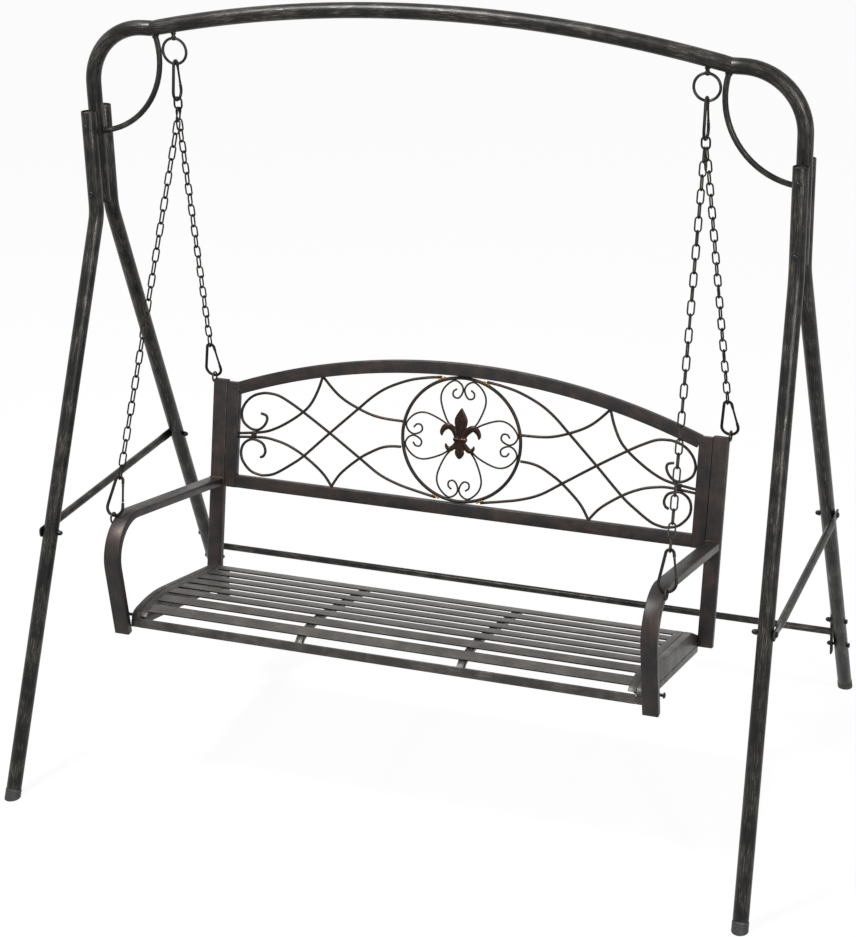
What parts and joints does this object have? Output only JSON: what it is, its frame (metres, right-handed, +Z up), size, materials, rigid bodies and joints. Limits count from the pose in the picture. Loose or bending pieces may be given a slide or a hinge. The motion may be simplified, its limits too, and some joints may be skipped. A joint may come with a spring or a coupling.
{
  "type": "garden swing bench",
  "caption": "Metal garden swing: a slatted bench with an arched scrollwork back hangs on chains from a round-tube A-frame stand.",
  "frame": {"origin": "on the ground, midway between the four feet", "axes": "+X to the right seen from the front, +Y to the rear, +Z up; the bench faces -Y"},
  "size_m": [1.9404, 1.2848, 1.955],
  "materials": {
    "stand_black_coat": "black powder coat over steel tube, satin",
    "bench_bronze_coat": "black coat with antique bronze rubbed through",
    "seat_grey_coat": "charcoal coat with brushed pewter highlights",
    "wire_black_coat": "black coat on bent steel wire",
    "cast_bronze": "cast iron with dark bronze paint, copper on the high spots",
    "chain_steel": "black coated welded chain and snap hooks",
    "bolt_black": "black bolts with dome nuts",
    "foot_plastic": "black plastic plug"
  },
  "bodies": {
    "stand": {"top_arch_tube": "stand_black_coat", "rear_crossbar": "stand_black_coat", "corner_tube_L": "stand_black_coat", "corner_brace_L": "stand_black_coat", "hanger_ring_L": "stand_black_coat", "side_bar_L": "stand_black_coat", "corner_bolt_upper_L": "bolt_black", "corner_bolt_lower_L": "bolt_black", "leg_front_L": "stand_black_coat", "leg_rear_L": "stand_black_coat", "foot_cap_front_L": "foot_plastic", "foot_cap_rear_L": "foot_plastic", "side_bar_bolt_front_L": "bolt_black", "side_bar_bolt_rear_L": "bolt_black", "corner_tube_R": "stand_black_coat", "corner_brace_R": "stand_black_coat", "hanger_ring_R": "stand_black_coat", "side_bar_R": "stand_black_coat", "corner_bolt_upper_R": "bolt_black", "corner_bolt_lower_R": "bolt_black", "leg_front_R": "stand_black_coat", "leg_rear_R": "stand_black_coat", "foot_cap_front_R": "foot_plastic", "foot_cap_rear_R": "foot_plastic", "side_bar_bolt_front_R": "bolt_black", "side_bar_bolt_rear_R": "bolt_black"},
    "bench": {"back_frame": "bench_bronze_coat", "medallion": "wire_black_coat", "fleur_de_lis": "cast_bronze", "seat_deck": "seat_grey_coat", "front_slat": "seat_grey_coat", "back_post_L": "bench_bronze_coat", "armrest_L": "bench_bronze_coat", "seat_side_rail_L": "seat_grey_coat", "front_bolt_L": "bolt_black", "lattice_L": "wire_black_coat", "top_hook_L": "chain_steel", "apex_link_L": "chain_steel", "chain_front_L": "chain_steel", "chain_rear_L": "chain_steel", "hook_front_L": "chain_steel", "hook_rear_L": "chain_steel", "back_post_R": "bench_bronze_coat", "armrest_R": "bench_bronze_coat", "seat_side_rail_R": "seat_grey_coat", "front_bolt_R": "bolt_black", "lattice_R": "wire_black_coat", "top_hook_R": "chain_steel", "apex_link_R": "chain_steel", "chain_front_R": "chain_steel", "chain_rear_R": "chain_steel", "hook_front_R": "chain_steel", "hook_rear_R": "chain_steel"},
    "top_hook_L_gate": {"top_hook_L_gate": "chain_steel"},
    "hook_front_L_gate": {"hook_front_L_gate": "chain_steel"},
    "hook_rear_L_gate": {"hook_rear_L_gate": "chain_steel"},
    "top_hook_R_gate": {"top_hook_R_gate": "chain_steel"},
    "hook_front_R_gate": {"hook_front_R_gate": "chain_steel"},
    "hook_rear_R_gate": {"hook_rear_R_gate": "chain_steel"}
  },
  "joints": [
    {"name": "bench_swing", "type": "hinge", "parent": "stand", "child": "bench", "pos_m": [0, 0, 1.7725], "axis": [1, 0, 0], "range_deg": [-25, 25]},
    {"name": "top_hook_L_gate_hinge", "type": "hinge", "parent": "bench", "child": "top_hook_L_gate", "pos_m": [-0.6697, 0.01842, 1.72118], "axis": [1, 0, 0], "range_deg": [0, 20], "stiffness_Nm_per_rad": 0.02, "springref_deg": -20.05},
    {"name": "hook_front_L_gate_hinge", "type": "hinge", "parent": "bench", "child": "hook_front_L_gate", "pos_m": [-0.68719, -0.39981, 0.76654], "axis": [0, -0.9127, 0.4086], "range_deg": [0, 20], "stiffness_Nm_per_rad": 0.02, "springref_deg": -20.05},
    {"name": "hook_rear_L_gate_hinge", "type": "hinge", "parent": "bench", "child": "hook_rear_L_gate", "pos_m": [-0.68698, 0.16693, 0.93038], "axis": [0, -0.9748, -0.2231], "range_deg": [0, 20], "stiffness_Nm_per_rad": 0.02, "springref_deg": -20.05},
    {"name": "top_hook_R_gate_hinge", "type": "hinge", "parent": "bench", "child": "top_hook_R_gate", "pos_m": [0.6697, 0.01842, 1.72118], "axis": [1, 0, 0], "range_deg": [0, 20], "stiffness_Nm_per_rad": 0.02, "springref_deg": -20.05},
    {"name": "hook_front_R_gate_hinge", "type": "hinge", "parent": "bench", "child": "hook_front_R_gate", "pos_m": [0.724, -0.39922, 0.76786], "axis": [0, -0.9127, 0.4086], "range_deg": [0, 20], "stiffness_Nm_per_rad": 0.02, "springref_deg": -20.05},
    {"name": "hook_rear_R_gate_hinge", "type": "hinge", "parent": "bench", "child": "hook_rear_R_gate", "pos_m": [0.72378, 0.16657, 0.93196], "axis": [0, -0.9748, -0.2231], "range_deg": [0, 20], "stiffness_Nm_per_rad": 0.02, "springref_deg": -20.05}
  ]
}
